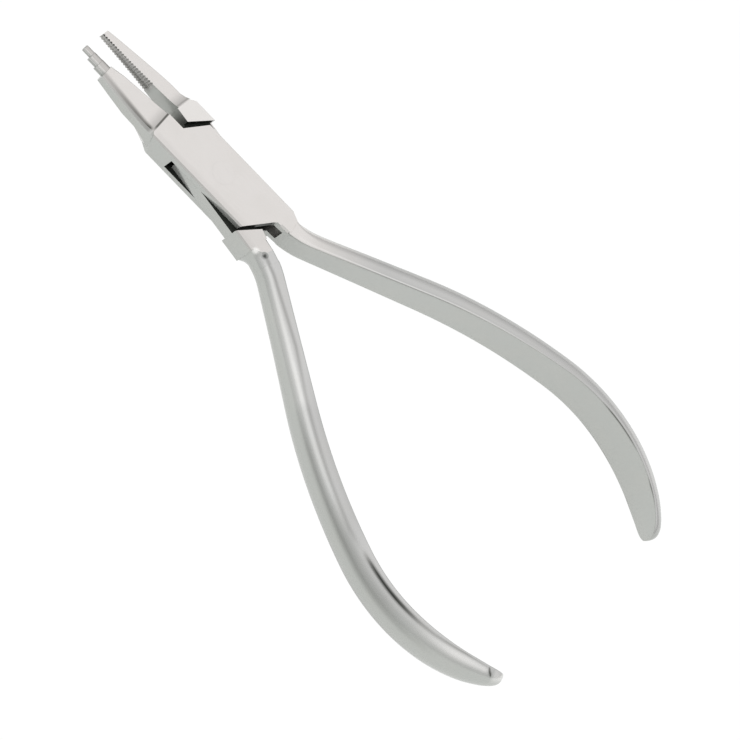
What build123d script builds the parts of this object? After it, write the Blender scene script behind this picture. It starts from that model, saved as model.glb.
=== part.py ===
from build123d import *
import os
from math import ceil, radians, tan

# Orthodontic wire-forming pliers with a box joint, in millimetres.
# The tongue half passes through a slot in the box half, and a rivet that is
# ground flush joins them. The box half carries a round stepped beak, and the
# tongue half carries a flat serrated one.
# Origin: on the rivet's axis, at the underside of the box. +Z is the rivet's
# axis, +Y runs along the box towards the beaks, and +X is to the right.

# Joint
joint_width = 10.8
joint_thickness = 5.6
plate_thickness = 1.4
slide_gap = 0.04  # between the tongue's flats and the plates
edge_break = 0.3  # small chamfer along the box's long edges
rest_opening = 9.0  # degrees between the halves as they lie
cut_overrun = 3.0  # every cut runs this far past the metal

# Box half, joint
box_front_y = 14.3
box_rear_y = 14.0  # where the handle's root begins, behind the rivet
front_wall_x = 0.45  # inner side of the box in front of the plates
plate_front_y = 10.7  # front ends of the plates, at that inner side
plate_rear_y = 8.75  # rear ends of the plates, at the left side
plate_slant = 34.0  # degrees, plate ends against the joint's width
plate_rear_x = 0.3  # where the plates' rear ends turn into the handle
plate_rear_run = 0.7
plate_rear_rise = 0.6
corner_top_width = 0.9  # front left corner of the box, ground off at a slope
corner_top_length = 0.5
corner_bottom_width = 1.5
corner_bottom_length = 2.3
slot_stop_y = 8.1  # the slot's front wall, which stops the opening
slot_stop_rise = 0.2
slot_neck_x = 0.75
slot_pocket_depth = 1.75  # how far the slot enters the handle's root
slot_pocket_y = 15.2

# Box half, jaw and round beak
jaw_length = 13.2
jaw_left_x = 5.2
jaw_tip_x = -0.05  # inner side at the beak
jaw_half_height = 2.8
jaw_top_bevel_width = 0.45
jaw_top_bevel_height = 0.65
jaw_low_bevel_width = 1.4  # widest under the left side
jaw_side_depth = 1.6  # deepest lower edge of the left side, below the middle
jaw_inner_bevel = 0.55
# Sections: place as a share of jaw_length, then the shares of jaw_left_x,
# jaw_half_height, jaw_low_bevel_width, jaw_side_depth and jaw_inner_bevel.
# The height falls away in a hollow curve in front of the box.
jaw_section_shares = [
    (-0.17, 1.000, 0.930, 0.60, 1.00, 0.15),
    (0.00, 0.985, 0.979, 0.70, 0.56, 0.15),
    (0.05, 0.972, 0.912, 0.78, 0.45, 0.15),
    (0.11, 0.957, 0.858, 0.87, 0.33, 0.15),
    (0.20, 0.933, 0.802, 1.00, 0.17, 0.15),
    (0.45, 0.865, 0.700, 0.68, 0.40, 0.20),
    (0.78, 0.740, 0.564, 0.52, 0.36, 0.30),
    (1.00, 0.654, 0.465, 0.42, 0.31, 1.00),
]
beak_inner_x = 0.08  # inner side of the beak's first step
step_setback = 0.03  # each further step stands this much further back
step_root_radius = 1.16
step_middle_radius = 0.97
step_tip_radius = 0.68
step_length = 1.9
step_tip_break = 0.12

# Tongue half, joint, given with both halves in line
tongue_slant = 28.5  # degrees, flange and shoulder against the joint's width
flange_front_y = 14.1
flange_rear_y = 11.1  # the flange's rear end, at its inner side
flange_inner_x = 0.4
flange_front_x = 3.65
flange_corner = 1.0
shoulder_front_y = 9.5  # the shoulder's front end, at its outer side
shoulder_inner_x = 0.55
tongue_corner_y = 6.4
tongue_neck_x = 0.3
tongue_neck_y = 7.2
tongue_neck_end_y = 10.7
root_step = 0.3  # the shoulder stands this far outside the handle's root
dimple_radius = 0.9
dimple_depth = 0.5
dimple_x = 3.6
dimple_y = 16.2

# Tongue half, serrated beak, given with both halves in line
beak_length = 18.5
beak_root_x = 0.75  # inner face at the flange
beak_tip_x = -1.45  # inner face at the tip
beak_thickness = 3.3
beak_half_height = 2.75
beak_edge_round = 0.3
# Sections: place as a share of beak_length, thickness as a share of
# beak_thickness, and height as a share of beak_half_height.
beak_flare_shares = [
    (0.000, 1.000, 1.000),
    (0.040, 0.935, 0.865),
    (0.100, 0.870, 0.778),
]
beak_section_shares = [
    (0.10, 0.870, 0.778),
    (0.30, 0.885, 0.612),
    (0.50, 0.795, 0.477),
    (0.75, 0.630, 0.360),
    (1.00, 0.425, 0.266),
]
serration_count = 21
serration_width = 0.6
serration_depth = 0.21
groove_radius = 0.8
groove_depth = 0.16

# Rivet
rivet_radius = 1.7
rivet_head_radius = 2.3
rivet_head_depth = 0.6
rivet_running_gap = 0.03  # radial, in the tongue

# Handles
grip_height = 9.7
box_grip_thickness = 4.55
tongue_grip_thickness = 4.1
grip_rim_share = 0.09  # chamfer round the inner face, as a share of the thickness
box_grip_x = 1.0  # inner face at the handle's root
box_grip_turn = 26.7  # degrees that the handle's root turns outwards
tongue_grip_x = 1.0
tongue_grip_turn = 28.2
grip_root_radius = 15.9
grip_straight = 23.9
grip_back_radius = 112.5
grip_back_turn = 14.6
grip_end_radius = 34.1
grip_end_turn = 58.6
grip_section_length = 3.0  # longest stretch between sections of the handle
# Shape behind the root: place along the inner face as a share of its
# length, height as a share of grip_height, thickness as a share of the
# handle's own, and flat land above and below as a share of that thickness.
# A smooth curve through the rows gives the sections between them.
box_grip_root_shares = [
    (0.024, 0.577, 0.890, 0.77),
    (0.050, 0.590, 0.935, 0.56),
    (0.100, 0.615, 0.900, 0.36),
]
tongue_grip_root_shares = [
    (0.024, 0.577, 0.955, 0.50),
    (0.050, 0.590, 0.955, 0.33),
    (0.100, 0.615, 0.945, 0.27),
]
grip_section_shares = [
    (0.210, 0.680, 0.950, 0.24),
    (0.370, 0.785, 1.000, 0.21),
    (0.535, 0.860, 0.980, 0.19),
    (0.700, 0.940, 0.910, 0.17),
    (0.835, 1.000, 0.800, 0.16),
    (0.920, 0.915, 0.690, 0.16),
    (0.960, 0.770, 0.600, 0.18),
    (0.982, 0.640, 0.520, 0.20),
    (0.994, 0.500, 0.410, 0.25),
    (1.000, 0.330, 0.260, 0.40),
]

# Values that follow from those above
half_width = joint_width / 2
mid_height = joint_thickness / 2
slot_half_height = mid_height - plate_thickness
mid_plane = Plane.XY.offset(mid_height)
plate_slope = tan(radians(plate_slant))
tongue_slope = tan(radians(tongue_slant))
plate_front_side_y = plate_front_y - (half_width - front_wall_x) * plate_slope
plate_rear_inner_y = plate_rear_y + (half_width + plate_rear_x) * plate_slope
flange_side_y = flange_rear_y - (half_width - flange_inner_x) * tongue_slope
shoulder_inner_y = shoulder_front_y + (half_width - shoulder_inner_x) * tongue_slope

os.makedirs("parts", exist_ok=True)


def grip_section(place, height, thickness, land):
    # Half-moon across the handle: flat inner face with a chamfered rim, a
    # narrow flat land above and below, and a round outer side.
    top = height / 2
    rim = thickness * grip_rim_share
    with BuildSketch(place) as outline:
        with BuildLine():
            Polyline((land, top), (rim, top), (0, top - rim), (0, rim - top), (rim, -top), (land, -top))
            ThreePointArc((land, -top), (thickness, 0), (land, top))
        make_face()
    return outline.sketch


def smooth_rows(rows, length, spacing):
    # Rows at most the spacing apart, on a smooth curve through the given ones:
    # a cubic between neighbours, whose slope at each row is that of the line
    # from the row before it to the row after it.
    last = len(rows) - 1
    slopes = []
    for index in range(last + 1):
        before = rows[max(index - 1, 0)]
        after = rows[min(index + 1, last)]
        slopes.append([(b - a) / (after[0] - before[0]) for a, b in zip(before, after)])
    smooth = []
    for index in range(last):
        start = rows[index]
        end = rows[index + 1]
        gap = end[0] - start[0]
        steps = ceil(gap * length / spacing)
        for step in range(steps):
            t = step / steps
            rise = t * t * (3 - 2 * t)
            lead = gap * t * (1 - t) ** 2
            trail = gap * t * t * (t - 1)
            row = []
            for a, b, slope_a, slope_b in zip(start, end, slopes[index], slopes[index + 1]):
                row.append(a + (b - a) * rise + slope_a * lead + slope_b * trail)
            smooth.append(row)
    smooth.append(rows[last])
    return smooth


def right_hand_grip(root_x, root_turn, root_thickness, full_thickness, root_shares):
    # Seen from above, the inner face follows an arc, a straight run and two
    # arcs back, all tangent, and the sections stand square to that line.
    with BuildLine() as inner_face:
        leave = JernArc((root_x, -box_rear_y), (0, -1), grip_root_radius, root_turn)
        run = Line(leave @ 1, leave @ 1 + (leave % 1) * grip_straight)
        back = JernArc(run @ 1, run % 1, grip_back_radius, -grip_back_turn)
        JernArc(back @ 1, back % 1, grip_end_radius, -grip_end_turn)
    path = inner_face.wire()

    def square_to(share):
        along = path % share
        outward = Vector(-along.Y, along.X, 0)
        start = path @ share + Vector(0, 0, mid_height)
        return Plane(origin=start, x_dir=outward, z_dir=along)

    sections = [
        grip_section(square_to(0), joint_thickness, root_thickness, root_thickness - edge_break)
    ]
    rows = smooth_rows(root_shares + grip_section_shares, path.length, grip_section_length)
    for along_share, height_share, thickness_share, land_share in rows:
        height = grip_height * height_share
        thickness = full_thickness * thickness_share
        land = thickness * land_share
        sections.append(grip_section(square_to(along_share), height, thickness, land))
    with BuildPart() as grip:
        loft(sections=sections, ruled=True)
    return grip.part


def beak_section(place_share, thickness_share, height_share):
    # Upright section of the serrated beak, rounded along its outer edges
    inner_x = beak_root_x + (beak_tip_x - beak_root_x) * place_share
    start = (inner_x, flange_front_y + beak_length * place_share, mid_height)
    thickness = beak_thickness * thickness_share
    height = 2 * beak_half_height * height_share
    with BuildSketch(Plane(origin=start, x_dir=(1, 0, 0), z_dir=(0, 1, 0))) as outline:
        Rectangle(thickness, height, align=(Align.MIN, Align.CENTER))
        fillet(outline.vertices().group_by(Axis.X)[-1], radius=beak_edge_round)
    return outline.sketch


# Rivet: countersunk at both ends and flush with the box's outer faces
with BuildPart() as joint_pin:
    with BuildSketch(Plane.XZ):
        with BuildLine():
            Polyline(
                (0, 0),
                (rivet_head_radius, 0),
                (rivet_radius, rivet_head_depth),
                (rivet_radius, joint_thickness - rivet_head_depth),
                (rivet_head_radius, joint_thickness),
                (0, joint_thickness),
                close=True,
            )
        make_face()
    revolve(axis=Axis.Z)
joint_pin.part.label = "joint_pin"
export_step(joint_pin.part, "parts/joint_pin.step")

# Box half: round stepped beak, jaw, slotted box and right-hand handle
box_grip_root = half_width - box_grip_x
box_grip = right_hand_grip(
    box_grip_x, box_grip_turn, box_grip_root, box_grip_thickness, box_grip_root_shares
)

with BuildPart() as box_half:
    with BuildSketch(mid_plane):
        with BuildLine():
            Polyline(
                (-half_width, box_front_y),
                (-half_width, -plate_rear_y),
                (plate_rear_x, -plate_rear_inner_y),
                (plate_rear_x + plate_rear_run, -plate_rear_inner_y - plate_rear_rise),
                (box_grip_x, -box_rear_y),
                (half_width, -box_rear_y),
                (half_width, plate_front_side_y),
                (front_wall_x, plate_front_y),
                (front_wall_x, box_front_y),
                close=True,
            )
        make_face()
    extrude(amount=mid_height, both=True)
    long_edges = box_half.edges().filter_by(Axis.Y).group_by(Axis.X)
    chamfer(long_edges[0] + long_edges[-1], length=edge_break)

    # Front left corner, cut at a slope that runs in further below
    for corner_plane, width, length in (
        (Plane.XY.offset(joint_thickness), corner_top_width, corner_top_length),
        (Plane.XY, corner_bottom_width, corner_bottom_length),
    ):
        with BuildSketch(corner_plane):
            with BuildLine():
                Polyline(
                    (width - half_width, box_front_y),
                    (-half_width, box_front_y - length),
                    (-half_width - cut_overrun, box_front_y - length),
                    (-half_width - cut_overrun, box_front_y + cut_overrun),
                    (width - half_width, box_front_y + cut_overrun),
                    close=True,
                )
            make_face()
    loft(ruled=True, mode=Mode.SUBTRACT)

    # Jaw, tapering to the beak, with a small bevel along the top of its left
    # side and a wide one along the bottom
    for place, left_share, height_share, low_share, depth_share, inner_share in jaw_section_shares:
        left = jaw_left_x * left_share
        right = front_wall_x + (jaw_tip_x - front_wall_x) * max(place, 0)
        top = jaw_half_height * height_share
        inner = jaw_inner_bevel * inner_share
        section_y = box_front_y + jaw_length * place
        with BuildSketch(Plane(origin=(0, section_y, mid_height), x_dir=(-1, 0, 0), z_dir=(0, 1, 0))):
            with BuildLine():
                Polyline(
                    (inner - right, top),
                    (left - jaw_top_bevel_width * height_share, top),
                    (left, top - jaw_top_bevel_height * height_share),
                    (left, -jaw_side_depth * depth_share),
                    (left - jaw_low_bevel_width * low_share, -top),
                    (inner - right, -top),
                    (-right, inner - top),
                    (-right, top - inner),
                    close=True,
                )
            make_face()
    loft(ruled=True)

    # Round steps, nearly in line on their inner side
    for index, radius in enumerate((step_root_radius, step_middle_radius, step_tip_radius)):
        step_x = -beak_inner_x - radius - index * step_setback
        step_y = box_front_y + jaw_length + index * step_length
        step_start = (step_x, step_y, mid_height)
        with BuildSketch(Plane(origin=step_start, x_dir=(1, 0, 0), z_dir=(0, 1, 0))):
            Circle(radius)
        extrude(amount=step_length)
    chamfer(box_half.faces().sort_by(Axis.Y)[-1].edges(), length=step_tip_break)

    add(box_grip)

    # Slot for the tongue, open at both sides
    with BuildSketch(mid_plane):
        with BuildLine():
            Polyline(
                (-half_width - cut_overrun, slot_stop_y),
                (-slot_neck_x, slot_stop_y + slot_stop_rise),
                (front_wall_x, plate_front_y),
                (half_width + cut_overrun, plate_front_y),
                (half_width + cut_overrun, -slot_stop_y),
                (box_grip_x + slot_pocket_depth, -slot_stop_y - slot_stop_rise),
                (box_grip_x + slot_pocket_depth, -slot_pocket_y),
                (-half_width - cut_overrun, -slot_pocket_y),
                close=True,
            )
        make_face()
    extrude(amount=slot_half_height, both=True, mode=Mode.SUBTRACT)

    # Seat of the rivet, countersunk in both outer faces
    add(joint_pin.part, mode=Mode.SUBTRACT)
box_half.part.label = "box_half"
export_step(box_half.part, "parts/box_half.step")

# Tongue half: serrated beak, flange, tongue, shoulder and left-hand handle,
# built in line with the box half and then turned to the rest opening
tongue_grip_root = half_width - root_step - tongue_grip_x
tongue_grip = right_hand_grip(
    tongue_grip_x, tongue_grip_turn, tongue_grip_root, tongue_grip_thickness, tongue_grip_root_shares
)

with BuildPart() as closed_half:
    # Flange in front of the plates and shoulder behind them, full thickness
    with BuildSketch(mid_plane):
        with BuildLine():
            Polyline(
                (flange_inner_x, flange_rear_y),
                (flange_inner_x, flange_front_y),
                (flange_front_x, flange_front_y),
                (flange_front_x + flange_corner, flange_front_y - flange_corner),
                (half_width, flange_side_y),
                close=True,
            )
        make_face()
        with BuildLine():
            Polyline(
                (-half_width, -shoulder_front_y),
                (-half_width, -box_rear_y),
                (-tongue_grip_x, -box_rear_y),
                (-shoulder_inner_x, -shoulder_inner_y),
                close=True,
            )
        make_face()
    extrude(amount=mid_height, both=True)
    chamfer(closed_half.edges().filter_by(Axis.Y).group_by(Axis.X)[0], length=edge_break)

    # Tongue between the plates
    with BuildSketch(mid_plane):
        with BuildLine():
            Polyline(
                (-half_width, -shoulder_front_y),
                (-half_width, tongue_corner_y),
                (-tongue_neck_x, tongue_neck_y),
                (flange_inner_x, tongue_neck_end_y),
                (flange_inner_x, flange_rear_y),
                (half_width, flange_side_y),
                (half_width, -tongue_corner_y),
                (tongue_neck_x, -tongue_neck_y),
                (-shoulder_inner_x, -tongue_neck_end_y),
                (-shoulder_inner_x, -shoulder_inner_y),
                close=True,
            )
        make_face()
    extrude(amount=slot_half_height - slide_gap, both=True)

    # Beak with a straight inner face that leans towards the other beak: a
    # short flare at the flange, then one smooth taper
    loft(sections=[beak_section(*shares) for shares in beak_flare_shares], ruled=True)
    loft(sections=[beak_section(*shares) for shares in beak_section_shares])

    # Teeth across the inner face, and a shallow groove along its middle
    face_along = Vector(beak_root_x - beak_tip_x, -beak_length, 0)
    tip_corner = Vector(beak_tip_x, flange_front_y + beak_length, mid_height)
    toothed_run = serration_count * serration_width
    face_plane = Plane(origin=tip_corner, x_dir=face_along, z_dir=(0, 0, 1))
    with BuildSketch(face_plane):
        with Locations((toothed_run / 2, 0)):
            with GridLocations(serration_width, serration_width, serration_count, 1):
                RegularPolygon(radius=serration_depth, side_count=4)
    extrude(amount=beak_half_height, both=True, mode=Mode.SUBTRACT)
    with BuildSketch(Plane(origin=tip_corner, x_dir=face_along.cross(Vector(0, 0, -1)), z_dir=face_along)):
        with Locations((groove_depth - groove_radius, 0)):
            Circle(groove_radius)
    extrude(amount=toothed_run, mode=Mode.SUBTRACT)

    add(tongue_grip.mirror(Plane.YZ))

    # Ground hollows where the shoulder meets the handle
    for height in (-dimple_depth, joint_thickness + dimple_depth):
        with Locations((-dimple_x, -dimple_y, height)):
            Sphere(dimple_radius, mode=Mode.SUBTRACT)

    # Bore that runs on the rivet
    with Locations((0, 0, mid_height)):
        Cylinder(rivet_radius + rivet_running_gap, joint_thickness, mode=Mode.SUBTRACT)

with BuildPart() as tongue_half:
    add(closed_half.part.rotate(Axis.Z, -rest_opening))
tongue_half.part.label = "tongue_half"
export_step(tongue_half.part, "parts/tongue_half.step")
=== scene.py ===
from math import cos, pi, radians, sin
import bmesh
import bpy
import numpy as np
from mathutils import Matrix, Vector


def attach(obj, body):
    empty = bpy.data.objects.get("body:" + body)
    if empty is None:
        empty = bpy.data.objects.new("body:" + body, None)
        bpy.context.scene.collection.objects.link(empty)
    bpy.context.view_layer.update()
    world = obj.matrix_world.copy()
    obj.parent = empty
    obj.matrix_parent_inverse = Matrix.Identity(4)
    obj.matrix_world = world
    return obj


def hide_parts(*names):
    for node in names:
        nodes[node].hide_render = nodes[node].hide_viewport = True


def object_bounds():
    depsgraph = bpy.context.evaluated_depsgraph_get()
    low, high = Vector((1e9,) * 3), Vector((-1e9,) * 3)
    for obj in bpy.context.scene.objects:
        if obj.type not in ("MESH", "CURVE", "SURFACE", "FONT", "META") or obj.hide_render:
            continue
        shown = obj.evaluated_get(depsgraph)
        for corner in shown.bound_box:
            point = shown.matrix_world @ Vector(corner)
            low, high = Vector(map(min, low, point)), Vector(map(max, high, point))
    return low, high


# Box-jointed wire-forming pliers in satin steel. The two handles are swept
# surfaces worked out with numpy, and the joint blocks are finished copies of
# the frame's own meshes.
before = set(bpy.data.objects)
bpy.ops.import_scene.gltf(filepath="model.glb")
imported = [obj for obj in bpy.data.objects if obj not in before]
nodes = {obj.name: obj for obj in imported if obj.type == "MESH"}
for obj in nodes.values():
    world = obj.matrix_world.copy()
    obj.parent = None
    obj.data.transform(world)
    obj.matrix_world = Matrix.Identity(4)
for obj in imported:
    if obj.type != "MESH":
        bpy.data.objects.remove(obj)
cadLow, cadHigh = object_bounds()
mm = 0.001
print("frame loaded")

joint = {
    "midHeight": 2.8,  # mm, half the joint's thickness
    "rearLine": -14.0,  # mm, where both handles begin
    "opening": 9.0,  # degrees that the tongue half lies turned, clockwise
    "plateInside": 1.4,  # mm, slot's half height
}
restTurn = radians(joint["opening"])
toneNames = ("paintedDark", "line", "hand", "shine", "teeth")  # attributes that the steel reads


# Shader maths: a wrapped socket, and an expression on it adds Math nodes
class Wire:
    def __init__(self, tree, socket):
        self.tree = tree
        self.socket = socket

    def math(self, operation, *others, swapped=False):
        node = self.tree.nodes.new("ShaderNodeMath")
        node.operation = operation
        values = [*others, self] if swapped else [self, *others]
        for index, value in enumerate(values):
            plug(self.tree, node.inputs[index], value)
        return Wire(self.tree, node.outputs[0])

    def __add__(self, other):
        return self.math("ADD", other)

    def __radd__(self, other):
        return self.math("ADD", other, swapped=True)

    def __sub__(self, other):
        return self.math("SUBTRACT", other)

    def __rsub__(self, other):
        return self.math("SUBTRACT", other, swapped=True)

    def __mul__(self, other):
        return self.math("MULTIPLY", other)

    def __rmul__(self, other):
        return self.math("MULTIPLY", other, swapped=True)

    def __abs__(self):
        return self.math("ABSOLUTE")


def plug(tree, target, value):
    if isinstance(value, Wire):
        tree.links.new(value.socket, target)
    else:
        target.default_value = value


# The nodes of one material, or of the sky
class Finish:
    def __init__(self, owner):
        owner.use_nodes = True
        self.owner = owner
        self.tree = owner.node_tree
        self.tree.nodes.clear()

    def add(self, kind, settings=None, output=0, **values):
        # one node of any type: its settings first, then its sockets, which
        # i0, i1 and so on call by index and other names by their words
        node = self.tree.nodes.new(kind)
        for name, value in (settings or {}).items():
            setattr(node, name, value)
        for name, value in values.items():
            key = int(name[1:]) if name[1:].isdigit() else name.replace("_", " ")
            plug(self.tree, node.inputs[key], value)
        return Wire(self.tree, node.outputs[output]) if len(node.outputs) else None

    def attribute(self, name, output):
        return self.add("ShaderNodeAttribute", {"attribute_name": name}, output)

    def ramp(self, value, nought, one):
        # 0 at the first limit and 1 at the second, which may be the lower one
        settings = {"interpolation_type": "SMOOTHSTEP"}
        return self.add("ShaderNodeMapRange", settings, i0=value, i1=nought, i2=one)

    def between(self, value, start, full, late, end):
        # rises from start to full, and falls from late to end
        return self.ramp(value, start, full) * self.ramp(value, end, late)

    def near(self, gap, inner, outer):
        # 1 while the gap is within inner on either side, 0 past outer
        return 1 - self.ramp(abs(gap), inner, outer)

    def spot(self, place, centre, inner, outer):
        # 1 within the inner distance of the centre, 0 beyond the outer one
        gap = self.add("ShaderNodeVectorMath", {"operation": "DISTANCE"}, "Value", i0=place, i1=centre)
        return self.ramp(gap, outer, inner)

    def blend(self, factor, first, second):
        # first colour where the factor is 0, second where it is 1
        return self.add("ShaderNodeMix", {"data_type": "RGBA"}, 2, i0=factor, i6=first, i7=second)

    def noise(self, place, scale, detail=3.0, rough=0.6):
        return self.add("ShaderNodeTexNoise", i0=place, Scale=scale, Detail=detail, Roughness=rough)

    def stretch(self, place, factors):
        # each part of the vector by its own factor
        return self.add("ShaderNodeVectorMath", {"operation": "MULTIPLY"}, i0=place, i1=factors)

    def split(self, vector):
        first = self.add("ShaderNodeSeparateXYZ", i0=vector)
        return [Wire(self.tree, out) for out in first.socket.node.outputs]

    def close(self, **values):
        shader = self.add("ShaderNodeBsdfPrincipled", **values)
        self.add("ShaderNodeOutputMaterial", Surface=shader)
        return self.owner


def addObject(name, data):
    thing = bpy.data.objects.new(name, data)
    bpy.context.scene.collection.objects.link(thing)
    return thing


steel = {
    "topColour": (0.750, 0.722, 0.703, 1),  # flat faces that look up or down
    "shadedSideColour": (0.520, 0.535, 0.510, 1),  # painted shade: upright faces, darker as they face the grey horizon
    "gripColour": (0.600, 0.598, 0.592, 1),  # round upper side of the handles
    "paintedDarkColour": (0.014, 0.017, 0.013, 1),  # painted shade inside the joint, in notches and dimple, and a dark painted reflection on a handle
    "paintedShadeColour": (0.11, 0.11, 0.10, 1),  # painted shade along edges, creases and hollows, and dark painted reflection bands on the handles
    "paintedHighlightColour": (0.98, 0.97, 0.95, 1),  # painted highlights and bright reflections
    "topRise": (0.35, 0.98),  # upward share of the normal, for side and for top colour
    "cloudColour": (0.60, 0.57, 0.52, 1),
    "cloudScale": 0.22,  # of the noise, for each mm
    "cloudRange": (0.35, 0.75),  # levels of the noise where a cloud starts and is full
    "cloudShare": 0.10,
    "brushColour": (0.40, 0.40, 0.39, 1),
    "brushStretch": (0.25, 14.0, 14.0),  # strokes for each mm along, across and up
    "brushRange": (0.45, 0.85),
    "brushShare": 0.12,
    "scratchColour": (0.85, 0.84, 0.82, 1),
    "scratchStretch": (0.7, 5.0, 5.0),
    "scratchWidth": 0.008,  # how far the noise may be from its middle within a scratch
    "scratchRange": (0.45, 0.6),  # levels of the clouds where scratches start and are full
    "scratchShare": 0.10,
    "roughness": 0.24,
    "grain": 0.06,  # how far the brushing moves the roughness
    "cloudGrain": 0.08,
    "paintedDarkRough": 0.3,  # roughness that the joint's inside has more
    "sideMetal": 0.52,  # upright faces are duller than the ground flat ones
    "paintedDarkDull": 0.5,  # metal that the joint's inside lacks
    "toothDull": 0.75,  # and the toothed face
    "edgeRound": 0.07,  # mm, rounding that the light shows along every edge
    "bump": 0.25,  # strength of the brushing's relief
    "bumpDepth": 0.01,  # mm
}
# Places on the blocks are in mm: along from the rivet towards the handle, which
# makes the beaks negative, across to the right, and up from the middle. On a
# handle, along runs down its inner face and across leads away from that face.
jaw = {
    "edge": (-7.12, -0.16),  # jaw's left edge: across at the rivet, and its slope
    "fade": (0.1, 1.0),  # from the edge, where the shade is full and where it is gone
    "span": (-28.6, -27.4, -15.2, -14.4),  # along, where the shade starts, is full and ends
    "growth": (-28.0, -17.0),  # along, where it grows from half to whole
    "rise": (0.2, 0.6),  # upward share of the normal where it starts and is full
    "strength": 0.80,
}
crease = {
    "hollow": (-16.9, -14.4, -14.35, -14.15),  # along, shade in front of box and flange
    "hollowStrength": 0.34,
    "line": -14.40,  # along, where the jaw meets the box
    "lineWidth": (0.06, 0.32),
    "lineStart": (-4.6, -3.2),  # across
    "lineFade": (0.2, 0.5),  # across, where it weakens
    "lineLoss": 0.75,  # share that it loses there
    "lineStrength": 0.62,
    "side": -4.9,  # across, middle of the faint band at the plates' left edge
    "sideWidth": (0.2, 1.4),
    "sideStart": (-14.2, -13.0),  # along
    "sideStrength": 0.07,
}
flange = {
    "inner": 0.4,  # across, its side towards the other beak
    "width": (0.05, 0.1),
    "shade": (-14.2, -11.2),  # along, where that side darkens towards the joint
    "strength": 0.80,
}
serration = {
    "colour": (0.56, 0.55, 0.53, 1),
    "top": (3.12, 0.075),  # half height of the toothed face at the rivet, and its slope
    "face": (0.2, 0.4),  # levels of the attribute for the toothed face and its notches
    "notch": (0.6, 0.9),  # and for the notches alone
    "start": (-19.2, -20.6),  # along, where the face's own colour comes in
    "colourShare": 0.9,
    "bandPlace": 0.35,  # share of the half height at which the darker band lies, below
    "bandWidth": (0.1, 0.8),
    "bandStart": (-18.6, -20.6),  # along
    "bandGrowth": (-31.0, -27.0),  # along
    "bandStrength": (0.16, 0.34),  # everywhere, and what the band adds
    "notchDepth": (-0.55, -0.22),  # from the upper edge, where a notch starts and is full
    "notchGrowth": (-27.0, -30.0),  # along
    "notchStrength": (0.12, 0.82),  # everywhere, and what it gains towards the tip
}
bearing = {
    "right": (5.1, 5.25),  # across, the box's side, where the painted shade inside the joint ends
    "rear": (12.0, 15.0),  # along, where it thins on the box half
    "thinning": 0.75,  # share that it loses there
}
# The dimple gets painted shade, a painted shade line down the handle, and a painted highlight before it
dimple = {
    "centre": (16.24, -3.41, 2.40),
    "size": (0.1, 0.85),  # radii where it is full and where it is gone
    "grit": (2.6, 0.8, 0.45),  # its noise: scale, contrast and level
    "tailSlope": 0.22,  # of the ground line that leads from it down the handle
    "tailWidth": (0.05, 0.55),
    "tailStart": (16.2, 17.0),  # along
    "tailHeight": (0.5, 1.5),  # up
    "tailStrength": 0.38,
    "shine": (14.60, -4.50, 2.70),  # middle of the painted highlight before it
    "shineSize": (0.25, 1.0),
    "shineStrength": 0.9,
}


def jawShade(f, along, across, rise):
    # Painted shade beside the jaw's left edge, half as strong towards the beak
    gap = across - along * jaw["edge"][1] - jaw["edge"][0]
    shade = f.near(gap, *jaw["fade"]) * f.between(along, *jaw["span"])
    growth = f.ramp(along, *jaw["growth"]) * 0.5 + 0.5
    return shade * growth * f.ramp(rise, *jaw["rise"]) * jaw["strength"]


def creaseShade(f, along, across):
    # Painted shade: a hollow that deepens towards box and flange, the dark
    # line where the jaw meets the box, and a faint band along the plates
    hollow = f.between(along, *crease["hollow"]) * crease["hollowStrength"]
    line = f.near(along - crease["line"], *crease["lineWidth"]) * f.ramp(across, *crease["lineStart"])
    line = line * (1 - f.ramp(across, *crease["lineFade"]) * crease["lineLoss"])
    beside = f.near(across - crease["side"], *crease["sideWidth"]) * f.ramp(along, *crease["sideStart"])
    return hollow + line * crease["lineStrength"] + beside * crease["sideStrength"]


def dimpleTail(f, along, across, up):
    # Painted shade along a slanted line from the dimple down the handle, on the upper side and below
    gap = across + (along - dimple["centre"][0]) * dimple["tailSlope"] - dimple["centre"][1]
    tail = f.near(gap, *dimple["tailWidth"]) * f.ramp(along, *dimple["tailStart"])
    return tail * f.ramp(abs(up), *dimple["tailHeight"]) * dimple["tailStrength"]


def flangeShade(f, along, across):
    # Painted shade on the flange's inner side, darker towards the joint
    inner = f.near(across - flange["inner"], *flange["width"])
    return inner * f.ramp(along, *flange["shade"]) * flange["strength"]


def serrate(f, colour, teeth, along, up):
    # The toothed face turns grey, with a darker band below its middle that fades
    # near the tip, and painted shade in the notches that deepens upwards and towards the tip
    height = along * serration["top"][1] + serration["top"][0]
    face = f.ramp(teeth, *serration["face"])
    toothed = face * f.ramp(along, *serration["start"])
    colour = f.blend(toothed * serration["colourShare"], colour, serration["colour"])
    least, more = serration["bandStrength"]
    band = f.near(up + height * serration["bandPlace"], *serration["bandWidth"])
    band = (band * f.ramp(along, *serration["bandGrowth"]) * more + least) * face
    band = band * f.ramp(along, *serration["bandStart"])
    colour = f.blend(band, colour, steel["paintedShadeColour"])
    least, more = serration["notchStrength"]
    notch = f.ramp(teeth, *serration["notch"]) * f.ramp(up - height, *serration["notchDepth"])
    notch = notch * (f.ramp(along, *serration["notchGrowth"]) * more + least)
    return f.blend(notch, colour, steel["paintedDarkColour"]), toothed


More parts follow.
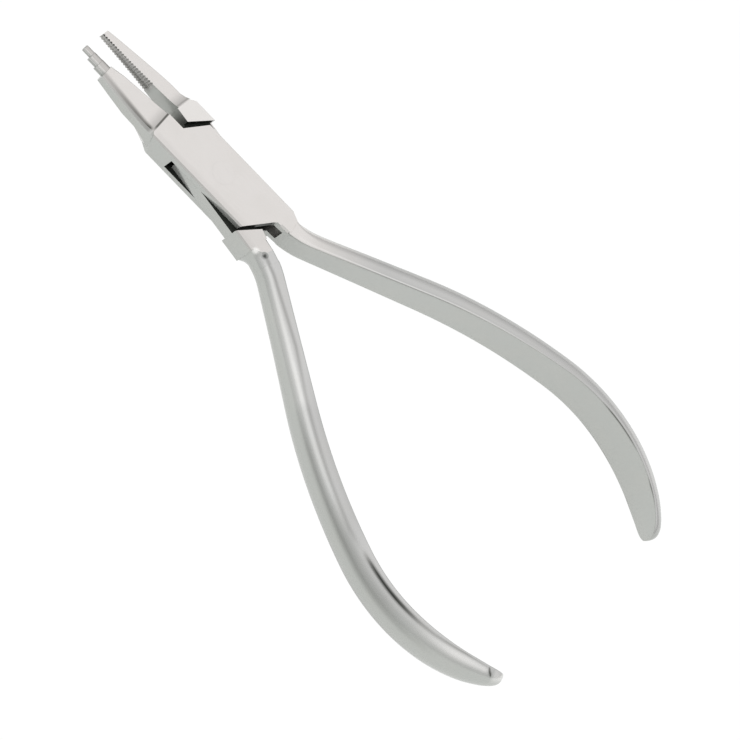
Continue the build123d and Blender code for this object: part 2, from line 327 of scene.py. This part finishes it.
def satinSteel():
    # Colour runs from the side colour to the top colour with the upward share
    # of the normal, which paints shade on upright faces. Noise stretched along
    # the piece gives the brushing, and the narrow places where another noise is
    # near its middle give the scratches.
    # Attributes: the dark one paints shade inside the joint and a dark reflection
    # on a handle, "line" paints shade along edges and creases and dark reflection
    # bands, "shine" paints highlights, "hand" turns the block's finish into the
    # handle's, and "teeth" marks the toothed face (0.5) and its notches (1).
    f = Finish(bpy.data.materials.new("satinSteel"))
    flow = f.attribute("flow", "Vector")
    paintedDark, line, hand, shine, teeth = [f.attribute(name, "Fac") for name in toneNames]
    along, across, up = f.split(flow)
    rise = abs(f.split(f.add("ShaderNodeNewGeometry", output="Normal"))[2])
    top = f.ramp(rise, *steel["topRise"])
    onBlock = 1 - hand
    brush = f.noise(f.stretch(flow, steel["brushStretch"]), 1.0)
    cloud = f.noise(flow, steel["cloudScale"], rough=0.55)
    wander = f.noise(f.stretch(flow, steel["scratchStretch"]), 1.0, 2.0, 0.5)
    scratch = f.near(wander - 0.5, 0.0, steel["scratchWidth"]) * f.ramp(cloud, *steel["scratchRange"])

    flat = f.blend(hand, steel["topColour"], steel["gripColour"])
    colour = f.blend(top, steel["shadedSideColour"], flat)
    clouding = f.ramp(cloud, *steel["cloudRange"]) * steel["cloudShare"]
    colour = f.blend(clouding, colour, steel["cloudColour"])
    brushing = f.ramp(brush, *steel["brushRange"]) * steel["brushShare"]
    colour = f.blend(brushing, colour, steel["brushColour"])
    colour = f.blend(scratch * steel["scratchShare"], colour, steel["scratchColour"])

    # Painted shade beside the jaw, at the creases, along the dimple's line and on the flange's inner
    # side
    shade = jawShade(f, along, across, rise) + creaseShade(f, along, across) * top
    colour = f.blend(shade * onBlock, colour, steel["paintedShadeColour"])
    colour = f.blend(dimpleTail(f, along, across, up) * hand, colour, steel["paintedShadeColour"])
    inner = flangeShade(f, along, across) * (1 - top) * onBlock
    colour = f.blend(inner, colour, steel["paintedShadeColour"])
    colour, toothed = serrate(f, colour, teeth, along, up)
    # Painted shade and dark painted reflections that the line attribute carries
    colour = f.blend(line, colour, steel["paintedShadeColour"])

    # Painted shade inside the joint, whose bearing faces are also rougher and less metallic; on the
    # tongue's handle this paints a dark reflection
    paintedDark = paintedDark * (1 - f.ramp(across, *bearing["right"]))
    paintedDark = paintedDark * (1 - f.ramp(along, *bearing["rear"]) * onBlock * bearing["thinning"])
    colour = f.blend(paintedDark, colour, steel["paintedDarkColour"])
    # Painted shade in the dimple, broken by noise
    scale, contrast, level = dimple["grit"]
    pit = f.spot(flow, dimple["centre"], *dimple["size"]) * (f.noise(flow, scale) * contrast + level)
    colour = f.blend(pit, colour, steel["paintedDarkColour"])
    # Painted highlights: the shine attribute, and a spot before the dimple
    glow = f.spot(flow, dimple["shine"], *dimple["shineSize"]) * dimple["shineStrength"]
    colour = f.blend(shine.math("MAXIMUM", glow), colour, steel["paintedHighlightColour"])

    rough = steel["roughness"] + (brush - 0.5) * steel["grain"] + (cloud - 0.5) * steel["cloudGrain"]
    rough = rough + paintedDark * steel["paintedDarkRough"]
    dull = (1 - top) * (1 - steel["sideMetal"]) * (1 - paintedDark) * (1 - toothed)
    metal = 1 - paintedDark * steel["paintedDarkDull"] - dull - toothed * steel["toothDull"]
    soft = f.add("ShaderNodeBevel", {"samples": 4}, Radius=steel["edgeRound"] * mm)
    relief = {"Strength": steel["bump"], "Distance": steel["bumpDepth"] * mm}
    bump = f.add("ShaderNodeBump", Height=brush, Normal=soft, **relief)
    return f.close(Base_Color=colour, Metallic=metal, Roughness=rough, Normal=bump)


# Handles
grip = {
    "height": 9.7,  # mm, greatest
    "trim": 0.006,  # mm, kept clear of the frame's own box
    "rimShare": 0.09,  # round of the inner face's edges, as a share of the thickness
    # Course of the inner face in mm and degrees: outwards, straight, slowly back, and in
    "rootRadius": 15.9,
    "straight": 23.9,
    "backRadius": 112.5,
    "backTurn": 14.6,
    "endRadius": 34.1,
    "endTurn": 58.6,
    # Place along the inner face, height and thickness, as shares of the whole
    # ones, and the flat land as a share of the thickness there
    "rows": [
        (0.210, 0.680, 0.950, 0.17), (0.370, 0.785, 1.000, 0.13), (0.535, 0.860, 0.980, 0.12),
        (0.700, 0.940, 0.910, 0.12), (0.835, 1.000, 0.800, 0.12),
    ],
    "columns": (16, 5, 7, 22),  # of the mesh on inner face, rim, land and arc, in each half
    "stepLength": 0.5,  # mm, between rings of the mesh
    "tipRings": (1.2, 15),  # closer rings at the tip: mm before the end, and their number
    "facetRings": (0.952, 0.970, 18),  # and at the ground facet: shares of the length, number
    "overlap": 0.4,  # mm that the handle reaches back into its block
    "overlapSize": 0.97,  # of the section there
    "softRounds": 3,  # times that the section's corners are evened out
    "softLength": 2.0,  # mm behind the block over which that comes in
    "closing": 0.6,  # mm at the end that close in a quarter round
    "closeMiddle": 0.45,  # share of the thickness that they close on
    "closeSize": 0.02,  # of the last ring
    "pathPoints": 4001,  # at which the course is summed up
    "mostTone": 0.95,  # limit for streaks that lie over each other
}
boxGrip = {
    "rootX": 1.0,  # mm, inner face's place across where the handle begins
    "turn": 26.7,  # degrees that the handle bends outwards
    "thickness": 4.55,  # mm, greatest
    "startShare": 0.024,  # where the swept handle takes over from the block
    "rows": [(0.024, 0.577, 0.890, 0.77), (0.050, 0.590, 0.935, 0.56), (0.100, 0.615, 0.900, 0.36)],
    "tipRows": [
        (0.920, 0.915, 0.690, 0.12), (0.960, 0.770, 0.600, 0.14), (0.980, 0.640, 0.520, 0.16),
        (0.991, 0.480, 0.410, 0.20), (0.997, 0.320, 0.290, 0.25), (1.000, 0.150, 0.170, 0.30),
    ],
    "finishStart": 0.05,  # share of the length where the block's finish ends
    "finishLength": 0.18,  # and over which the handle's comes in
    "shade": 0.15,  # painted shade on the round side
    "shadeColumns": (16, 3),  # where it starts, and over how many columns it comes in
    # Painted reflections along the handle, light and dark bands: attribute, level,
    # width in columns, and a track of (place, column up from the inner face's middle, strength)
    "paintedReflections": [
        ("shine", 0.45, 1.2,
         [(0.04, 21, 0.4), (0.22, 20, 1), (0.45, 19, 0.7), (0.60, 18, 0.3), (0.70, 17, 0)]),
        ("shine", 0.17, 4.0,
         [(0.10, 33, 0), (0.30, 33, 1), (0.66, 30, 1), (0.90, 30, 1), (0.98, 30, 0)]),
        ("line", 0.22, 4.5, [(0.10, 40, 0), (0.22, 40, 1), (0.80, 38, 1), (0.96, 38, 0)]),
        ("line", 0.95, 1.1, [(0.72, 17.5, 0), (0.75, 17.3, 1), (0.81, 17, 0.9), (0.84, 17, 0)]),
        ("line", 0.90, 1.1, [(0.89, 17, 0), (0.91, 17, 1), (0.94, 18, 0.3), (0.95, 19, 0)]),
        ("line", 0.35, 0.8, [(0.10, 18.5, 0), (0.20, 18.5, 1), (0.38, 17.5, 0.8), (0.46, 17, 0)]),
    ],
}
tongueGrip = {
    "rootX": 1.0,
    "turn": 28.2,
    "thickness": 4.1,
    "startShare": 0.050,
    "rows": [(0.024, 0.577, 0.955, 0.50), (0.050, 0.590, 0.955, 0.33), (0.100, 0.615, 0.945, 0.27)],
    "tipRows": [
        (0.920, 0.880, 0.680, 0.12), (0.960, 0.690, 0.570, 0.14), (0.980, 0.550, 0.480, 0.16),
        (0.991, 0.420, 0.380, 0.20), (0.997, 0.290, 0.270, 0.25), (1.000, 0.150, 0.160, 0.30),
    ],
    "paintedReflections": [
        ("line", 0.42, 1.5,
         [(0.05, 33, 1), (0.22, 31, 1), (0.31, 33, 0.9), (0.58, 34, 0.8), (0.63, 33, 0)]),
        ("line", 0.95, 1.3,
         [(0.625, 32, 0), (0.66, 31.3, 0.9), (0.75, 30.6, 1), (0.79, 30.4, 0.6), (0.83, 30, 0.5)]),
        ("line", 0.60, 1.3, [(0.83, 30, 0.8), (0.90, 28, 1), (0.96, 29, 0.4)]),
        ("paintedDark", 1.00, 1.0, [(0.64, 31.6, 0), (0.68, 31.1, 0.9), (0.73, 30.8, 1), (0.80, 30.3, 0)]),
        ("line", 0.17, 5.0, [(0.26, 26, 0), (0.36, 26, 1), (0.56, 26, 1), (0.63, 26, 0)]),
        ("line", 0.34, 2.3,
         [(0.34, 41, 0), (0.42, 41, 0.8), (0.59, 42, 1), (0.78, 42, 0.8), (0.86, 42, 0)]),
        ("line", 0.21, 5.0, [(0.50, 37, 0), (0.60, 37, 1), (0.72, 37, 1), (0.79, 37, 0)]),
        ("shine", 0.24, 5.0,
         [(0.08, 39, 0), (0.16, 39, 0.6), (0.27, 37, 1), (0.325, 37, 0.9), (0.345, 37, 0)]),
        ("shine", 0.72, 3.0, [(0.79, 34, 0), (0.88, 33, 1), (0.950, 32, 1), (0.960, 32, 0)]),
        ("line", 1.10, 1.8, [(0.9545, 28, 0), (0.9565, 30, 1), (0.9655, 35, 1), (0.9680, 37, 0)]),
        ("shine", 0.55, 9.0, [(0.968, 34, 0), (0.975, 34, 1), (1.0, 34, 1)]),
    ],
}


def smoothRows(rows, places):
    # A cubic between neighbouring rows, whose slope at each row is that of the
    # chord from the row before it to the row after it.
    rows = np.array(rows)
    at = rows[:, 0]
    order = np.arange(len(at))
    before = rows[np.maximum(order - 1, 0)]
    after = rows[np.minimum(order + 1, len(at) - 1)]
    slope = (after - before) / (after[:, :1] - before[:, :1])
    k = np.clip(np.searchsorted(at, places, side="right") - 1, 0, len(at) - 2)
    gap = (at[k + 1] - at[k])[:, None]
    t = (places - at[k])[:, None] / gap
    rise = t * t * (3 - 2 * t)
    bend = slope[k] * gap * t * (1 - t) ** 2 + slope[k + 1] * gap * t * t * (t - 1)
    return rows[k] + (rows[k + 1] - rows[k]) * rise + bend


def gripKnots(root):
    # Distances along the inner face where a run or bend ends, and the heading
    # in degrees at each
    headings = [0, root["turn"], root["turn"], root["turn"] - grip["backTurn"]]
    headings.append(headings[-1] - grip["endTurn"])
    lengths = [
        0, grip["rootRadius"] * radians(root["turn"]), grip["straight"],
        grip["backRadius"] * radians(grip["backTurn"]), grip["endRadius"] * radians(grip["endTurn"]),
    ]
    return np.cumsum(lengths), headings


def gripLength(root):
    return gripKnots(root)[0][-1]


def gripPath(root, along):
    # Heading against distance is straight runs and even turns, so the place is
    # the running sum of the heading's sine and cosine.
    knots, headings = gripKnots(root)
    fine = np.linspace(0, knots[-1], grip["pathPoints"])
    heading = np.radians(np.interp(fine, knots, headings))
    step = fine[1] - fine[0]
    way = np.stack([np.sin(heading), -np.cos(heading)], 1)
    run = np.concatenate([np.zeros((1, 2)), np.cumsum((way[1:] + way[:-1]) * step / 2, 0)])
    place = np.stack([np.interp(along, fine, run[:, i]) for i in range(2)], 1)
    return place + (root["rootX"], joint["rearLine"]), np.interp(along, fine, heading)


def gripProfile(height, thickness, land, rim):
    # The section as arrays over rings and columns. Its upper half goes up the
    # inner face, a quarter round over the rim, along the land, and down an arc
    # that passes through the land's end and the outermost point. The lower half
    # mirrors it.
    half = height / 2
    flat, corner, shelf, bow = [(np.arange(n) + 0.5) / n for n in grip["columns"]]
    innerX, innerZ = 0 * half * flat, (half - rim) * flat
    rimX = rim - rim * np.cos(corner * pi / 2)
    rimZ = half - rim + rim * np.sin(corner * pi / 2)
    landX, landZ = rim + (land - rim) * shelf, half + 0 * shelf
    sag = thickness - land
    radius = (half ** 2 + sag ** 2) / (2 * sag)
    centre = thickness - radius
    full = np.arctan2(half, land - centre)
    arcX = centre + radius * np.cos(full * (1 - bow))
    arcZ = radius * np.sin(full * (1 - bow))
    x = np.concatenate([innerX, rimX, landX, arcX], 1)
    z = np.concatenate([innerZ, rimZ, landZ, arcZ], 1)
    return np.concatenate([x, x[:, ::-1]], 1), np.concatenate([z, -z[:, ::-1]], 1)


def gripRings(root):
    # Even steps, with closer rings at the ground facet and towards the tip, and
    # one ring inside the block
    length = gripLength(root)
    start = root["startShare"] * length
    even = np.linspace(start, length, int((length - start) / grip["stepLength"]))
    reach, count = grip["tipRings"]
    tip = length - reach * (1 - np.linspace(0, 1, count)) ** 2
    facet = np.linspace(*grip["facetRings"]) * length
    hidden = [start - grip["overlap"]]
    return np.unique(np.concatenate([hidden, even[even < tip[0]], facet, tip]))


def gripSection(root, along):
    # The profile for the size at each ring, its corners evened by averaging each
    # point with its neighbours, closed in a quarter round at the end, and a
    # little smaller inside the block
    length = gripLength(root)
    start = root["startShare"] * length
    shares = smoothRows(root["rows"] + grip["rows"] + root["tipRows"], along / length)
    height = (grip["height"] - grip["trim"]) * np.minimum(shares[:, 1:2], 1)
    thickness = (root["thickness"] - grip["trim"]) * shares[:, 2:3]
    x, z = gripProfile(height, thickness, thickness * shares[:, 3:4], thickness * grip["rimShare"])
    soft = np.clip((along - start) / grip["softLength"], 0, 1)[:, None]
    for _ in range(grip["softRounds"]):
        x = x + soft * ((np.roll(x, 1, 1) + 2 * x + np.roll(x, -1, 1)) / 4 - x)
        z = z + soft * ((np.roll(z, 1, 1) + 2 * z + np.roll(z, -1, 1)) / 4 - z)
    close = np.clip((along - length + grip["closing"]) / grip["closing"], 0, 1)[:, None]
    size = np.sqrt(np.maximum(1 - close ** 2, grip["closeSize"] ** 2))
    middle = thickness * grip["closeMiddle"]
    x, z = middle + (x - middle) * size, z * size
    size = np.where(along < start, grip["overlapSize"], 1)[:, None]
    middle = thickness * 0.5
    return middle + (x - middle) * size, z * size


def streak(share, column, width, track):
    # Bell across the columns, along a track of (place, column, strength)
    places, columns, strengths = np.array(track).T
    centre = np.interp(share, places, columns)
    strength = np.interp(share, places, strengths, left=0, right=0)
    return strength * np.exp(-((column - centre) / width) ** 2)


def gripTones(root, share):
    # Attributes over the grid: the painted reflection streaks added up, and on the
    # box half a finish that comes in behind the block and a painted shade on the round side
    order = np.arange(share.shape[1])
    column = np.minimum(order, order[::-1])[None] + 0 * share
    tones = {name: np.zeros(share.shape) for name in toneNames}
    tones["hand"] += 1
    if "finishStart" in root:
        tones["hand"] = np.clip((share - root["finishStart"]) / root["finishLength"], 0, 1)
        first, count = root["shadeColumns"]
        tones["line"] += root["shade"] * np.clip((column - first) / count, 0, 1) * tones["hand"]
    for name, level, width, track in root["paintedReflections"]:
        tones[name] += level * streak(share, column, width, track)
    for name in ("paintedDark", "line", "shine"):
        tones[name] = np.clip(tones[name], 0, grip["mostTone"])
    return tones


def closedRings(name, points, flow, tones):
    # Quads between neighbouring rings of a grid (rings, columns, 3), and one
    # flat face across each end ring
    rings, columns = points.shape[:2]
    index = np.arange(rings * columns).reshape(rings, columns)
    a, b = index[:-1], np.roll(index, -1, 1)[:-1]
    c, d = np.roll(index, -1, 1)[1:], index[1:]
    faces = np.stack([a, b, c, d], -1).reshape(-1, 4).tolist()
    faces += [index[0][::-1].tolist(), index[-1].tolist()]
    mesh = bpy.data.meshes.new(name)
    mesh.from_pydata((points.reshape(-1, 3) * mm).tolist(), [], faces)
    flowLayer = mesh.attributes.new("flow", "FLOAT_VECTOR", "POINT")
    flowLayer.data.foreach_set("vector", flow.reshape(-1).astype(np.float32))
    for key, values in tones.items():
        layer = mesh.attributes.new(key, "FLOAT", "POINT")
        layer.data.foreach_set("value", values.reshape(-1).astype(np.float32))
    mesh.shade_smooth()
    return addObject(name, mesh)


def buildGrip(name, root, turned):
    # The section at each ring stands square to the path. The tongue's handle is
    # mirrored and turned to where that half lies, and the box's columns run the
    # other way round, so that its faces look outwards too.
    along = gripRings(root)
    x, z = gripSection(root, along)
    place, turn = gripPath(root, along)
    px = place[:, :1] + x * np.cos(turn)[:, None]
    py = place[:, 1:] + x * np.sin(turn)[:, None]
    flow = np.stack([along[:, None] + 0 * x, x, z], -1)
    if turned:
        px = -px
        px, py = px * cos(restTurn) + py * sin(restTurn), py * cos(restTurn) - px * sin(restTurn)
    points = np.stack([px, py, z + joint["midHeight"]], -1)
    if not turned:
        points, flow = points[:, ::-1], flow[:, ::-1]
    share = (along / gripLength(root))[:, None] + 0 * x
    return closedRings(name, points, flow, gripTones(root, share))


# Joint blocks. Places here are in mm ahead of the rivet, so the beaks are positive.
block = {
    "mergeGap": 0.002,  # mm, points closer than this become one
    "cutPlay": 0.01,  # mm, faces further behind the cut than this are taken off
    "flatAngle": 0.6,  # degrees, faces that differ less than this become one
    "sharpAngle": 24.0,  # degrees, edges above this stay crisp
    "evenWeight": 80,  # how far large faces set the shading of the corners
    "slant": 28.5,  # degrees, ends of plates, flange and shoulder against the width
    # Shares of a face's normal
    "alongSlant": 0.97,  # least, in the slant's direction, of a slanted end
    "level": 0.99,  # least upwards of a level face
    "upright": 0.95,  # most upwards of the toothed face, least sideways of an outer side
    "bevelRise": (0.3, 0.9),  # upwards, of the jaw's bevel
    "bevelSide": 0.5,  # least to the left
    "chamferRise": (0.6, 0.8),  # the same for the box's bevel
    "chamferSide": 0.6,
    # Places
    "halfWidth": 5.2,
    "slotPlay": 0.05,  # height that a face inside the slot may have more than the slot
    "boxSlot": (-15.3, 11.5),
    "tongueSlot": (-11.0, 11.5),
    "endFaces": (-13.5, 13.5),  # slanted faces of flange and shoulder
    "plateEnd": (-12.0, -8.0),  # rear ends of the plates
    "chamfer": (-14.0, 14.0),  # bevel along the left edge
    "jawStart": 14.4,
    "stepStart": 28.25,  # round steps of the beak
    "flange": (11.0, 14.05),
    "shoulder": (-15.5, -8.0),
    "gripStart": -15.0,  # on the tongue half, from where the handle's finish holds
    "toothStart": 14.0,
    "toothCorner": (0.75, 14.1),  # across and ahead, foot of the toothed face
    "toothLean": 0.1184,  # radians that this face leans inwards
    "toothReach": 0.45,  # furthest that it and its notches lie behind that line
    "notchReach": 0.02,  # least that a notch does
    "notchStart": 19.6,
    # Strengths of the painted shade and highlights
    "plateEndShade": 0.9,
    "stepLine": 0.28,
    "shoulderLine": 0.07,
    "chamferLine": 0.2,
    "bevelShine": 0.3,
    "flangeShine": 0.2,
}


def within(value, span):
    return span[0] < value < span[1]


def boxTones(n, centre, facing):
    # Painted shade on the plate ends, greyer steps, and a painted highlight on the bevel along the jaw
    plateEnd = facing < -block["alongSlant"] and within(centre.y, block["plateEnd"])
    slanted = n.x < -block["bevelSide"] and within(abs(n.z), block["bevelRise"])
    return {
        "paintedDark": block["plateEndShade"] * plateEnd,
        "line": block["stepLine"] * (centre.y > block["stepStart"]),
        "shine": block["bevelShine"] * (slanted and centre.y > block["jawStart"]),
    }


def tongueTones(n, centre, facing):
    # Painted shade on the end faces, a greyer shoulder and a painted highlight on
    # the flange, and the toothed face (0.5) with its notches (1), told by how far they lie behind its
    # line
    endFace = abs(facing) > block["alongSlant"] and within(centre.y, block["endFaces"])
    level = abs(n.z) > block["level"]
    lean = block["toothLean"]
    across, ahead = centre.x - block["toothCorner"][0], centre.y - block["toothCorner"][1]
    behind = across * cos(lean) + ahead * sin(lean)
    toothed = centre.y > block["toothStart"] and behind < block["toothReach"]
    toothed = toothed and abs(n.z) < block["upright"]
    notch = toothed and centre.y > block["notchStart"] and behind > block["notchReach"]
    return {
        "paintedDark": 1.0 * endFace,
        "line": block["shoulderLine"] * (level and within(centre.y, block["shoulder"])),
        "shine": block["flangeShine"] * (level and within(centre.y, block["flange"])),
        "hand": 1.0 * (centre.y < block["gripStart"]),
        "teeth": 1.0 if notch else 0.5 * toothed,
    }


def faceTones(face, turned):
    # What both halves share is the painted shade inside the slot and the bevel's painted shade line
    n = face.normal
    centre = face.calc_center_median() / mm
    slant = radians(block["slant"])
    facing = n.x * sin(slant) + n.y * cos(slant)
    tones = (tongueTones if turned else boxTones)(n, centre, facing)
    rise = max(abs(vertex.co.z / mm - joint["midHeight"]) for vertex in face.verts)
    slot = block["tongueSlot" if turned else "boxSlot"]
    outside = abs(n.x) > block["upright"] and abs(centre.x) > block["halfWidth"]
    low = rise < joint["plateInside"] + block["slotPlay"]
    if low and within(centre.y, slot) and not outside:
        tones["paintedDark"] = 1.0
    slanted = n.x < -block["chamferSide"] and within(abs(n.z), block["chamferRise"])
    if slanted and within(centre.y, block["chamfer"]):
        tones["line"] = block["chamferLine"]
    return tones


def buildBlock(name, source, root, turned):
    # A copy of the frame's mesh with its doubles merged, its flat faces made
    # whole and its handle taken off at the ring where the swept handle begins
    place, turn = gripPath(root, np.array([root["startShare"] * gripLength(root)]))
    back = Vector((place[0][0], place[0][1], joint["midHeight"])) * mm
    way = Vector((sin(turn[0]), -cos(turn[0]), 0))
    toOwn = Matrix.Rotation(restTurn, 4, "Z") if turned else Matrix.Identity(4)
    if turned:
        back.x, way.x = -back.x, -way.x
    mesh = source.data.copy()
    mesh.name = name
    b = bmesh.new()
    b.from_mesh(mesh)
    bmesh.ops.remove_doubles(b, verts=b.verts, dist=block["mergeGap"] * mm)
    b.transform(toOwn)
    b.normal_update()
    play = block["cutPlay"] * mm
    behind = [face for face in b.faces if (face.calc_center_median() - back).dot(way) > play]
    bmesh.ops.delete(b, geom=behind, context="FACES")
    flatAngle = radians(block["flatAngle"])
    bmesh.ops.dissolve_limit(b, angle_limit=flatAngle, verts=b.verts, edges=b.edges)
    rim = [edge for edge in b.edges if len(edge.link_faces) == 1]
    bmesh.ops.holes_fill(b, edges=rim)
    b.normal_update()
    layers = {key: b.faces.layers.float.new(key) for key in toneNames}
    for face in b.faces:
        face.smooth = True
        for key, value in faceTones(face, turned).items():
            face[layers[key]] = value
    for edge in b.edges:
        if len(edge.link_faces) == 2:
            edge.smooth = edge.calc_face_angle(0) < radians(block["sharpAngle"])
    flow = b.verts.layers.float_vector.new("flow")
    for vertex in b.verts:
        own = vertex.co / mm
        vertex[flow] = Vector((-own.y, own.x, own.z - joint["midHeight"]))
    b.transform(toOwn.inverted())
    b.to_mesh(mesh)
    b.free()
    piece = addObject(name, mesh)
    even = piece.modifiers.new("evenFaces", "WEIGHTED_NORMAL")
    even.keep_sharp = True
    even.weight = block["evenWeight"]
    return piece


steelMaterial = satinSteel()
for side, node, root, turned in (
    ("box", "box_half", boxGrip, False),
    ("tongue", "tongue_half", tongueGrip, True),
):
    blockPiece = buildBlock(side + "Block", nodes[node], root, turned)
    gripPiece = buildGrip(side + "Grip", root, turned)
    for piece in (blockPiece, gripPiece):
        piece.data.materials.clear()
        piece.data.materials.append(steelMaterial)
        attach(piece, side + "_side")
        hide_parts(node)
    print(side, "half built")

# Rivet, ground flush: the same flat finish, with a faint ring where it meets the plate
rivet = {
    "stretch": (14.0, 0.25, 14.0),  # strokes for each mm, along the plates
    "ringColour": (0.45, 0.44, 0.42, 1),
    "ring": (2.15, 2.3),  # mm from the middle, where the ring starts and is full
    "ringShare": 0.08,
    "brushShare": 0.14,
    "grain": 0.05,
}


def rivetSteel():
    # Brushing as on the plates, and a tone that rises with the distance from the
    # rivet's axis
    f = Finish(bpy.data.materials.new("rivetSteel"))
    own = f.stretch(f.add("ShaderNodeTexCoord", output="Object"), (1 / mm, 1 / mm, 1 / mm))
    brush = f.noise(f.stretch(own, rivet["stretch"]), 1.0)
    level = f.stretch(own, (1, 1, 0))
    gap = f.add("ShaderNodeVectorMath", {"operation": "LENGTH"}, "Value", i0=level)
    ring = f.ramp(gap, *rivet["ring"]) * rivet["ringShare"]
    colour = f.blend(ring, steel["topColour"], rivet["ringColour"])
    brushing = f.ramp(brush, *steel["brushRange"]) * rivet["brushShare"]
    colour = f.blend(brushing, colour, steel["brushColour"])
    relief = {"Strength": steel["bump"], "Distance": steel["bumpDepth"] * mm}
    bump = f.add("ShaderNodeBump", Height=brush, **relief)
    rough = steel["roughness"] + (brush - 0.5) * rivet["grain"]
    return f.close(Base_Color=colour, Metallic=1.0, Roughness=rough, Normal=bump)


nodes["joint_pin"].material_slots[0].material = rivetSteel()
print("rivet finished")

# Camera with a very long lens, at the photograph's slant
view = {
    "right": Vector((0.5416, -0.6907, 0.4791)),  # the frame's directions that lie right, up
    "up": Vector((0.6106, 0.7150, 0.3405)),
    "back": Vector((-0.5778, 0.1081, 0.8090)),  # and towards the camera
    "lens": 1400.0,  # mm
    "sensor": 36.0,  # mm
    "imageSize": 740,
    "pixel": 0.178,  # mm of the object for each pixel
    "pinAt": (216.3, 179.1),  # pixel column and row of the rivet's middle
    "clip": (0.5, 2.0),  # nearest and furthest that is shown, as shares of the distance
}
middle = view["imageSize"] / 2
aim = Vector((0, 0, joint["midHeight"])) * mm
aim += view["right"] * (middle - view["pinAt"][0]) * view["pixel"] * mm
aim -= view["up"] * (middle - view["pinAt"][1]) * view["pixel"] * mm
distance = view["imageSize"] * view["pixel"] * mm * view["lens"] / view["sensor"]
camera = addObject("camera", bpy.data.cameras.new("camera"))
camera.data.lens = view["lens"]
camera.data.sensor_width = view["sensor"]
camera.data.clip_start = distance * view["clip"][0]
camera.data.clip_end = distance * view["clip"][1]
axes = Matrix((view["right"], view["up"], view["back"])).transposed()
camera.matrix_world = Matrix.Translation(aim + view["back"] * distance) @ axes.to_4x4()
bpy.context.scene.camera = camera
print("camera placed")

# Floor: pale, shown almost white to the camera and in reflections, with its shadow kept
studio = {
    "floorSize": 1.6,  # m
    "floorShift": -0.03,  # m, towards the handles
    "floorColour": (0.80, 0.81, 0.80, 1),
    "gritColour": (0.79, 0.80, 0.79, 1),
    "gritScale": 60.0,
    "floorWhite": 0.965,  # share of plain white that camera and gloss see
    "whiteStrength": 1.03,
    "skyLevels": (0.60, 0.78, 1.0),  # strength of the sky at three heights
    "skyHeights": (0.0, 0.35, 0.75),  # and the sines of those heights
    "lampPlace": Vector((-0.35, 0.45, 0.60)),  # m
    "lampSize": 0.35,  # m
    "lampPower": 0.12,  # W
}


def paleFloor():
    # Plain white light by the share that camera and gloss rays see, and matt
    # paper with a fine grit for all other rays
    f = Finish(bpy.data.materials.new("floor"))
    grit = f.noise(f.add("ShaderNodeTexCoord", output="Object"), studio["gritScale"], rough=0.5)
    tint = f.blend(grit, studio["gritColour"], studio["floorColour"])
    paper = f.add("ShaderNodeBsdfDiffuse", Color=tint)
    white = f.add("ShaderNodeEmission", Color=(1, 1, 1, 1), Strength=studio["whiteStrength"])
    seen = f.add("ShaderNodeLightPath", output="Is Camera Ray")
    for ray in ("Is Glossy Ray", "Is Transmission Ray"):
        seen = seen.math("MAXIMUM", f.add("ShaderNodeLightPath", output=ray))
    surface = f.add("ShaderNodeMixShader", i0=seen * studio["floorWhite"], i1=paper, i2=white)
    f.add("ShaderNodeOutputMaterial", Surface=surface)
    return f.owner


half = studio["floorSize"] / 2
corners = [(-half, -half), (half, -half), (half, half), (-half, half)]
mesh = bpy.data.meshes.new("floor")
mesh.from_pydata([(x, y + studio["floorShift"], cadLow.z) for x, y in corners], [], [(0, 1, 2, 3)])
floor = addObject("floor", mesh)
floor.data.materials.append(paleFloor())

# Sky: even from above and greyer towards the horizon
world = bpy.data.worlds.new("studio")
bpy.context.scene.world = world
sky = Finish(world)
rise = sky.split(sky.add("ShaderNodeTexCoord"))[2]
levels, heights = studio["skyLevels"], studio["skyHeights"]
strength = sky.ramp(rise, heights[0], heights[1]) * (levels[1] - levels[0]) + levels[0]
strength = strength + sky.ramp(rise, heights[1], heights[2]) * (levels[2] - levels[1])
background = sky.add("ShaderNodeBackground", Color=(1, 1, 1, 1), Strength=strength)
sky.add("ShaderNodeOutputWorld", Surface=background)

lamp = addObject("key", bpy.data.lights.new("key", "AREA"))
lamp.data.size = studio["lampSize"]
lamp.data.energy = studio["lampPower"]
lamp.location = studio["lampPlace"]
lamp.rotation_euler = (aim - studio["lampPlace"]).to_track_quat("-Z", "Y").to_euler()
print("floor, sky and lamp placed")

bpy.context.scene.view_settings.view_transform = "Standard"
